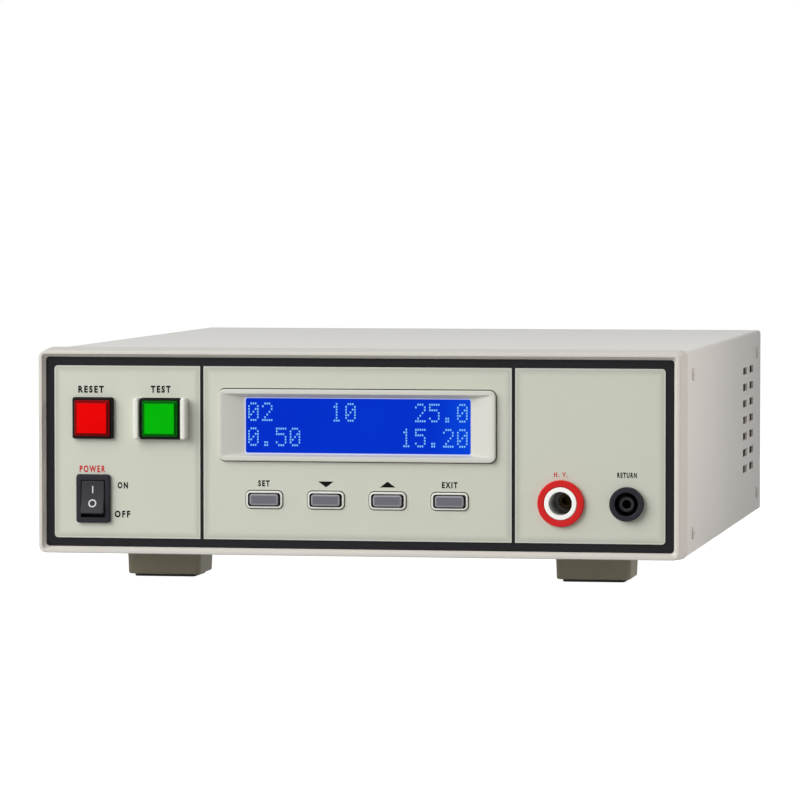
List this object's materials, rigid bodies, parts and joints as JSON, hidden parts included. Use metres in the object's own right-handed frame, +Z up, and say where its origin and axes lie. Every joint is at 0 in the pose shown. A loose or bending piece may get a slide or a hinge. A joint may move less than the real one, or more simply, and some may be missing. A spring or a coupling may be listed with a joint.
{
  "type": "hipot tester",
  "caption": "Benchtop high-voltage withstand tester: sheet-metal case with a framed front panel, dot display, keys, push buttons, power rocker and output sockets, on rubber-padded feet.",
  "frame": {"origin": "on the table under the middle of the object's box", "axes": "+X to the right seen from the front, +Y from the front to the rear, +Z up"},
  "size_m": [0.282, 0.368, 0.103],
  "materials": {
    "bezel_plastic": "fine textured moulding",
    "panel_black": "satin black",
    "overlay_pale": "matt printed film",
    "zinc_steel": "zinc plated",
    "fan_wire": "bright plated",
    "display_blue": "lit display",
    "board_green": "solder mask",
    "board_parts": "mixed components",
    "brass": "plain",
    "key_grey": "fine matt",
    "black_plastic": "semi-gloss",
    "red_lens": "translucent red",
    "green_lens": "translucent green",
    "hv_red": "red moulding",
    "lead_red": "silicone sheath",
    "insulator_white": "waxy white",
    "cover_paint": "fine textured paint",
    "foot_plastic": "matt moulding",
    "rubber_black": "matt",
    "core_steel": "varnished laminations",
    "winding_tape": "wrapped tape",
    "sink_aluminium": "extruded"
  },
  "bodies": {
    "case": {"front_bezel": "bezel_plastic", "display_surround": "bezel_plastic", "key_rings": "bezel_plastic", "test_guard": "bezel_plastic", "front_panel": "panel_black", "overlay_left": "overlay_pale", "overlay_centre": "overlay_pale", "overlay_right": "overlay_pale", "panel_screws": "zinc_steel", "spacer_screws": "zinc_steel", "panel_nuts": "zinc_steel", "cover_screws": "zinc_steel", "foot_screws": "zinc_steel", "inner_screws": "zinc_steel", "fan_screws": "zinc_steel", "chassis_tray": "zinc_steel", "transformer_rails": "zinc_steel", "display_frame": "zinc_steel", "inlet_pins": "zinc_steel", "signal_connectors": "zinc_steel", "fan_guard": "fan_wire", "display_glass": "display_blue", "display_board": "board_green", "key_board": "board_green", "main_board": "board_green", "main_board_parts": "board_parts", "board_spacers": "brass", "standoffs": "brass", "hv_contact": "brass", "return_contact": "brass", "ground_stud": "brass", "ground_nuts": "brass", "reset_housing": "black_plastic", "test_housing": "black_plastic", "power_housing": "black_plastic", "return_body": "black_plastic", "fan_frame": "black_plastic", "inlet_body": "black_plastic", "key_switches": "black_plastic", "contact_blocks": "black_plastic", "power_transistors": "black_plastic", "hv_flange": "hv_red", "hv_lead": "lead_red", "hv_insulator": "insulator_white", "top_cover": "cover_paint", "rear_panel": "cover_paint", "feet": "foot_plastic", "foot_pads": "rubber_black", "transformer_core": "core_steel", "transformer_winding": "winding_tape", "heat_sink": "sink_aluminium"},
    "reset_button": {"reset_lens": "red_lens"},
    "test_button": {"test_lens": "green_lens"},
    "rocker": {"power_rocker": "black_plastic"},
    "set_key": {"key_set": "key_grey"},
    "down_key": {"key_down": "key_grey"},
    "up_key": {"key_up_cap": "key_grey"},
    "exit_key": {"key_exit": "key_grey"},
    "rotor": {"fan_rotor": "black_plastic"},
    "drawer": {"fuse_drawer": "black_plastic"}
  },
  "joints": [
    {"name": "reset_press", "type": "slide", "parent": "case", "child": "reset_button", "axis": [0, 1, 0], "range_m": [0, 0.0017], "stiffness_N_per_m": 600, "springref_m": -0.001},
    {"name": "test_press", "type": "slide", "parent": "case", "child": "test_button", "axis": [0, 1, 0], "range_m": [0, 0.0017], "stiffness_N_per_m": 600, "springref_m": -0.001},
    {"name": "set_press", "type": "slide", "parent": "case", "child": "set_key", "axis": [0, 1, 0], "range_m": [0, 0.001], "stiffness_N_per_m": 800, "springref_m": -0.0008},
    {"name": "down_press", "type": "slide", "parent": "case", "child": "down_key", "axis": [0, 1, 0], "range_m": [0, 0.001], "stiffness_N_per_m": 800, "springref_m": -0.0008},
    {"name": "up_press", "type": "slide", "parent": "case", "child": "up_key", "axis": [0, 1, 0], "range_m": [0, 0.001], "stiffness_N_per_m": 800, "springref_m": -0.0008},
    {"name": "exit_press", "type": "slide", "parent": "case", "child": "exit_key", "axis": [0, 1, 0], "range_m": [0, 0.001], "stiffness_N_per_m": 800, "springref_m": -0.0008},
    {"name": "power_rock", "type": "hinge", "parent": "case", "child": "rocker", "pos_m": [-0.116, -0.1769, 0.0377], "axis": [1, 0, 0], "range_deg": [0, 18]},
    {"name": "fan_spin", "type": "hinge", "parent": "case", "child": "rotor", "pos_m": [0.03, 0.1515, 0.058], "axis": [0, 1, 0], "continuous": true},
    {"name": "fuse_slide", "type": "slide", "parent": "case", "child": "drawer", "axis": [0, 1, 0], "range_m": [0, 0.012]}
  ]
}
